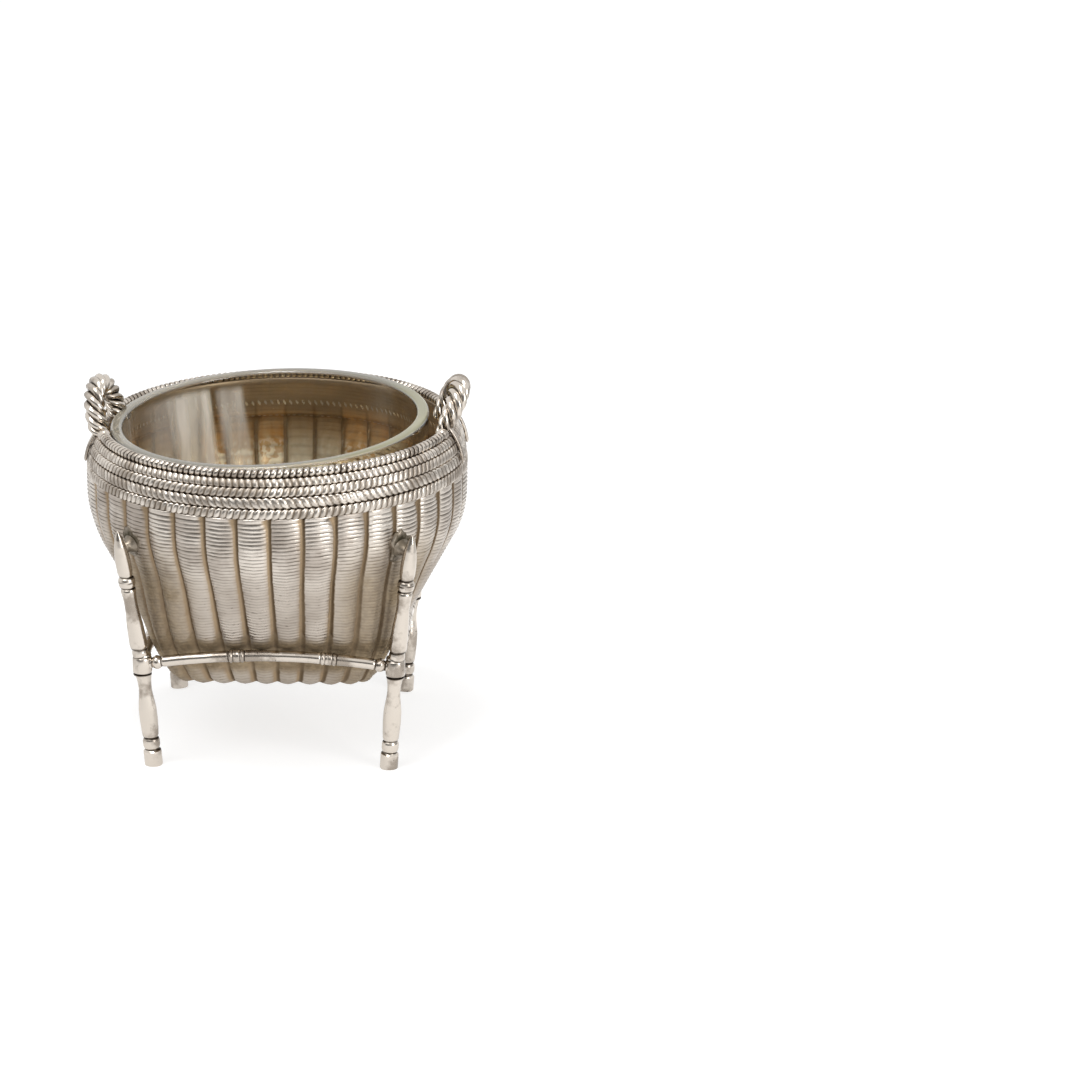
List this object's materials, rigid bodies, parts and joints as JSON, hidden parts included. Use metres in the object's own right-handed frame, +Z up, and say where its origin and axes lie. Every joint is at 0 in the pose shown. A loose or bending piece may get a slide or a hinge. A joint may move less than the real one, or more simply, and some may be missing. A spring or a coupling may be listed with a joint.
{
  "type": "salt cellar",
  "caption": "Open salt cellar: a fluted metal basket, squarish at the foot, with a roped border and rope handles, on a bamboo-style stand, with a lift-out glass liner.",
  "frame": {"origin": "on the table, below the middle of the basket", "axes": "+Z up, +X through the right-hand handle, -Y towards the front"},
  "size_m": [0.07, 0.07, 0.0682],
  "materials": {
    "basket_silver": "woven-look silver, rubbed bright on the ribs, with tan patina in the grooves",
    "border_silver": "roped silver wire with brown patina between the strands",
    "bright_silver": "worn polished silver with a warm cast",
    "solder_grey": "dull grey-green solder",
    "liner_glass": "clear pressed glass with a pale yellow-green edge"
  },
  "bodies": {
    "holder": {"basket_body": "basket_silver", "rope_row_1": "border_silver", "rope_row_2": "border_silver", "rope_row_3": "border_silver", "rope_row_4": "border_silver", "rim_rope_front": "bright_silver", "rim_rope_back": "bright_silver", "handle_left": "bright_silver", "handle_right": "bright_silver", "leg_front_left": "bright_silver", "leg_front_right": "bright_silver", "leg_back_left": "bright_silver", "leg_back_right": "bright_silver", "stretcher_front": "bright_silver", "stretcher_back": "bright_silver", "stretcher_left": "bright_silver", "stretcher_right": "bright_silver", "peg_front_left": "solder_grey", "peg_front_right": "solder_grey", "peg_back_left": "solder_grey", "peg_back_right": "solder_grey"},
    "liner": {"glass_liner": "liner_glass"}
  },
  "joints": [
    {"name": "liner_lift", "type": "slide", "parent": "holder", "child": "liner", "axis": [0, 0, 1], "range_m": [0, 0.05]}
  ]
}
